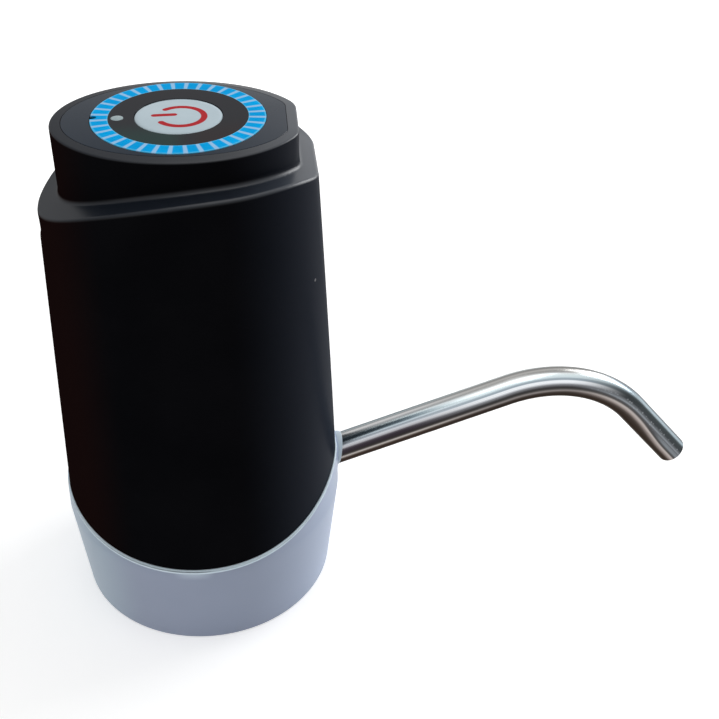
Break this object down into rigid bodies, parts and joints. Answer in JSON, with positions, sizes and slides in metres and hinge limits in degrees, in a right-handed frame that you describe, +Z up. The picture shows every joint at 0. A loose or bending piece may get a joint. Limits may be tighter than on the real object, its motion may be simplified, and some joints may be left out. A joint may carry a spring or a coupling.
{
  "type": "battery water bottle pump",
  "caption": "Push-button battery pump that seats on a large water bottle's neck and pours through a bent swivelling steel spout.",
  "frame": {"origin": "centre of the foot ring and of the bottle socket, on the plane that the foot stands on", "axes": "+Z up through the button; +X the way the spout leaves; the bottle enters from -Z"},
  "size_m": [0.1719, 0.0708, 0.1281],
  "materials": {
    "shell": "fine satin black ABS",
    "panel": "satin black ABS",
    "dial": "printed film: blue ring with pale ticks on gloss black",
    "button": "gloss white with a red power symbol",
    "lens": "milky light guide",
    "lamp": "clear epoxy",
    "switch": "black",
    "board": "green solder mask",
    "components": "black and grey packages",
    "screw": "zinc plated",
    "socket": "nickel plated steel",
    "base": "satin white ABS",
    "soft_seal": "translucent milky silicone",
    "steel": "polished stainless steel",
    "rubber": "black rubber",
    "hose": "clear silicone",
    "pump_plastic": "natural acetal",
    "can": "zinc plated steel",
    "magnet": "sintered ferrite",
    "rotor": "lamination steel",
    "end_cap": "white nylon",
    "brass": "plain brass",
    "wire": "red and black insulation",
    "cell": "shrink sleeve",
    "tab": "nickel strip",
    "frame": "black ABS"
  },
  "bodies": {
    "housing": {"outer_shell": "shell", "top_panel": "panel", "dial_label": "dial", "light_pipe": "lens", "status_lamp": "lamp", "tact_switch": "switch", "control_board": "board", "board_components": "components", "board_screws": "screw", "usb_socket": "socket", "base_collar": "base", "neck_seal": "soft_seal", "intake_nipple": "base", "spout_seal": "soft_seal", "spout_elbow": "base", "spout_o_rings": "rubber", "inlet_hose": "hose", "outlet_hose": "hose", "pump_cover": "pump_plastic", "valve_plate": "pump_plastic", "pump_diaphragm": "rubber", "pump_housing": "pump_plastic", "pump_screws": "screw", "wobble_plate": "pump_plastic", "motor_can": "can", "motor_magnets": "magnet", "motor_end_cap": "end_cap", "motor_terminals": "brass", "motor_leads": "wire", "battery_cell": "cell", "battery_tabs": "tab", "battery_leads": "wire", "inner_frame": "frame", "frame_screws": "screw"},
    "button": {"power_button": "button", "switch_plunger": "switch"},
    "spout": {"spout_tube": "steel"},
    "rotor": {"motor_rotor": "rotor", "eccentric_hub": "pump_plastic"}
  },
  "joints": [
    {"name": "button_press", "type": "slide", "parent": "housing", "child": "button", "axis": [0, 0, -1], "range_m": [0, 0.0008], "stiffness_N_per_m": 1500, "springref_m": -0.0003},
    {"name": "spout_swivel", "type": "hinge", "parent": "housing", "child": "spout", "pos_m": [0.0348, 0, 0.0312], "axis": [0.9483, 0, 0.3173], "continuous": true},
    {"name": "rotor_spin", "type": "hinge", "parent": "housing", "child": "rotor", "pos_m": [0.006, 0, 0.08], "axis": [0, 0, 1], "continuous": true}
  ]
}
